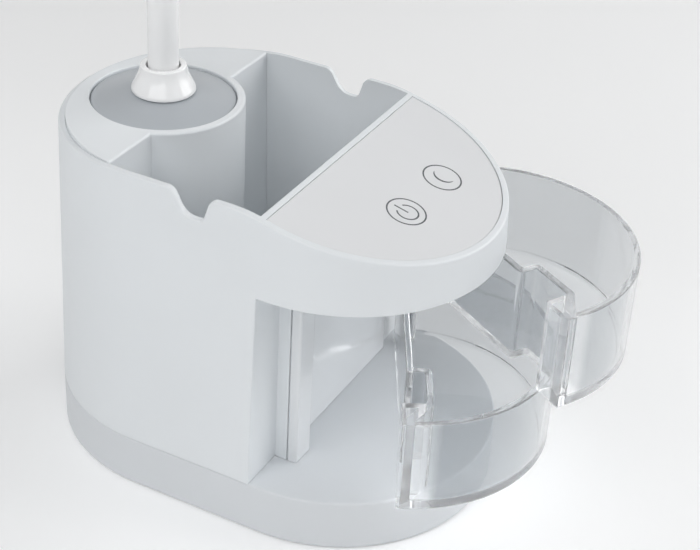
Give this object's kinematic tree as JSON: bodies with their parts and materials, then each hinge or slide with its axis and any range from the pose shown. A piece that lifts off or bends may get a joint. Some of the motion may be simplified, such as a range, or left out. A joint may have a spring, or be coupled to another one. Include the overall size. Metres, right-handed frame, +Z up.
{
  "type": "desk lamp with drawer base",
  "caption": "Desk lamp on an oblong storage base with a pen pocket, a sloping touch panel and two clear trays that swing out of a bay on one upright pin.",
  "frame": {"origin": "middle of the underside of the anti-slip pad, on the table", "axes": "+Z up; +X from the stem's end to the tray bay; +Y to the side of the trays' hinge pin"},
  "size_m": [0.1938, 0.1147, 0.351],
  "materials": {
    "shell_white": "fine matte moulded",
    "plinth_white": "fine matte moulded",
    "liner_white": "fine matte moulded",
    "panel_white": "satin, printed touch symbols",
    "bay_gloss": "gloss moulded",
    "clear_plastic": "clear moulded",
    "satin_grey": "satin grey",
    "collar_white": "gloss white",
    "stem_white": "satin white paint",
    "head_white": "fine matte moulded",
    "opal": "opal diffuser",
    "inner_black": "black moulded",
    "steel": "zinc plated",
    "ballast_steel": "raw plate",
    "rubber_grey": "matte",
    "circuit_board": "white solder mask",
    "contact_foam": "conductive foam",
    "led_yellow": "phosphor"
  },
  "bodies": {
    "base": {"anti_slip_pad": "rubber_grey", "bottom_cover": "plinth_white", "bottom_cover_screws": "steel", "ballast_plate": "ballast_steel", "ballast_screws": "steel", "base_tub": "plinth_white", "power_inlet": "steel", "inlet_board": "circuit_board", "inlet_board_screws": "steel", "body_shell": "shell_white", "body_screws": "steel", "pocket_liner": "liner_white", "bay_back_panel": "bay_gloss", "post_cap": "shell_white", "trim_disc": "satin_grey", "stem_collar": "collar_white", "stem_carrier": "inner_black", "carrier_screws": "steel", "control_panel": "panel_white", "touch_board": "circuit_board", "touch_board_screws": "steel", "touch_pads": "contact_foam", "hinge_pin": "steel", "hinge_washers": "collar_white"},
    "upper_drawer": {"upper_drawer": "clear_plastic"},
    "lower_drawer": {"lower_drawer": "clear_plastic"},
    "stem": {"stem_tube": "stem_white", "stem_washer": "steel", "stem_nut": "steel", "stem_knuckle": "head_white", "head_hinge_pin": "steel", "head_washers": "inner_black"},
    "head": {"head_housing": "head_white", "head_diffuser": "opal", "led_board": "circuit_board", "leds": "led_yellow", "head_screws": "steel"}
  },
  "joints": [
    {"name": "upper_drawer_swing", "type": "hinge", "parent": "base", "child": "upper_drawer", "pos_m": [0.025, 0.042, 0.065], "axis": [0, 0, 1], "range_deg": [-58.8, 36.2]},
    {"name": "lower_drawer_swing", "type": "hinge", "parent": "base", "child": "lower_drawer", "pos_m": [0.025, 0.042, 0.033], "axis": [0, 0, 1], "range_deg": [-28.7, 66.3]},
    {"name": "stem_swivel", "type": "hinge", "parent": "base", "child": "stem", "pos_m": [-0.0427, 0, 0.096], "axis": [0, 0, 1], "range_deg": [-150, 150]},
    {"name": "head_tilt", "type": "hinge", "parent": "stem", "child": "head", "pos_m": [-0.0427, 0, 0.344], "axis": [0, 1, 0], "range_deg": [-80, 30]}
  ]
}
